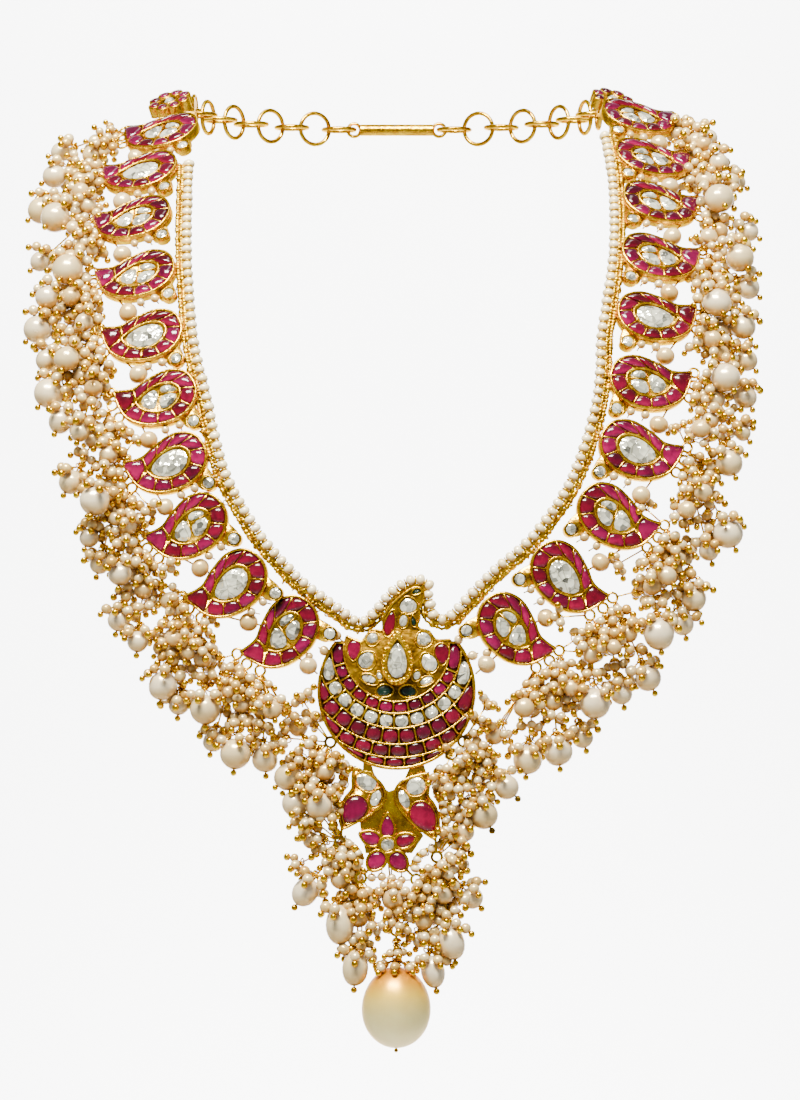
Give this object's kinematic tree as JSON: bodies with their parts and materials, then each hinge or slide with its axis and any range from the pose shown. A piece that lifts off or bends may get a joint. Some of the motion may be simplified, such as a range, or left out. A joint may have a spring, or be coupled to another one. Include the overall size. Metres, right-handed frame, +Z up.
{
  "type": "polki necklace",
  "caption": "Bib necklace in its worn form: mango shaped links of rubies and flat diamonds, a crescent pendant, pearl fringes and a large golden pearl drop.",
  "frame": {"origin": "middle of the neck opening at the height of the back chain", "axes": "+Z up, +X to the viewer's right as seen from the front, +Y to the back of the neck, so the pendant hangs at -Y"},
  "size_m": [0.2008, 0.1748, 0.259],
  "materials": {
    "gold": "antique yellow gold, softly polished",
    "ruby": "pink red cabochons",
    "polki": "flat cut colourless diamonds on foil",
    "emerald": "dark green cut stones",
    "cream_pearl": "cream pearl lustre",
    "peach_pearl": "peach pearl lustre",
    "seed_pearl": "small cream pearls",
    "golden_pearl": "golden pearl lustre"
  },
  "bodies": {
    "necklace": {"mango_left_01": "gold", "mango_left_02": "gold", "mango_left_03": "gold", "mango_left_04": "gold", "mango_left_05": "gold", "mango_left_06": "gold", "mango_left_07": "gold", "mango_left_08": "gold", "mango_left_09": "gold", "mango_left_10": "gold", "mango_right_01": "gold", "mango_right_02": "gold", "mango_right_03": "gold", "mango_right_04": "gold", "mango_right_05": "gold", "mango_right_06": "gold", "mango_right_07": "gold", "mango_right_08": "gold", "mango_right_09": "gold", "mango_right_10": "gold", "mango_rubies_left": "ruby", "mango_rubies_right": "ruby", "mango_polkis_left": "polki", "mango_polkis_right": "polki", "link_pearls_left": "peach_pearl", "link_pearls_right": "peach_pearl", "fringe_pearls_left": "cream_pearl", "fringe_pearls_right": "cream_pearl", "inner_string_left": "seed_pearl", "inner_string_right": "seed_pearl", "flower_link_left": "gold", "flower_link_right": "gold", "flower_rubies": "ruby", "flower_polkis": "polki", "pendant_crescent": "gold", "pendant_lower": "gold", "pendant_rubies": "ruby", "pendant_polkis": "polki", "crescent_polkis": "polki", "pendant_emeralds": "emerald", "keri_string_left": "seed_pearl", "keri_string_right": "seed_pearl", "pendant_pearls": "cream_pearl", "back_chain_left": "gold", "back_chain_right": "gold", "clasp": "gold"},
    "golden_drop": {"golden_pearl": "golden_pearl", "golden_drop_wire": "gold"}
  },
  "joints": [
    {"name": "drop_swing", "type": "hinge", "parent": "necklace", "child": "golden_drop", "pos_m": [-0.0005, -0.08485, -0.22152], "axis": [1, 0, 0], "range_deg": [-30, 30]}
  ]
}
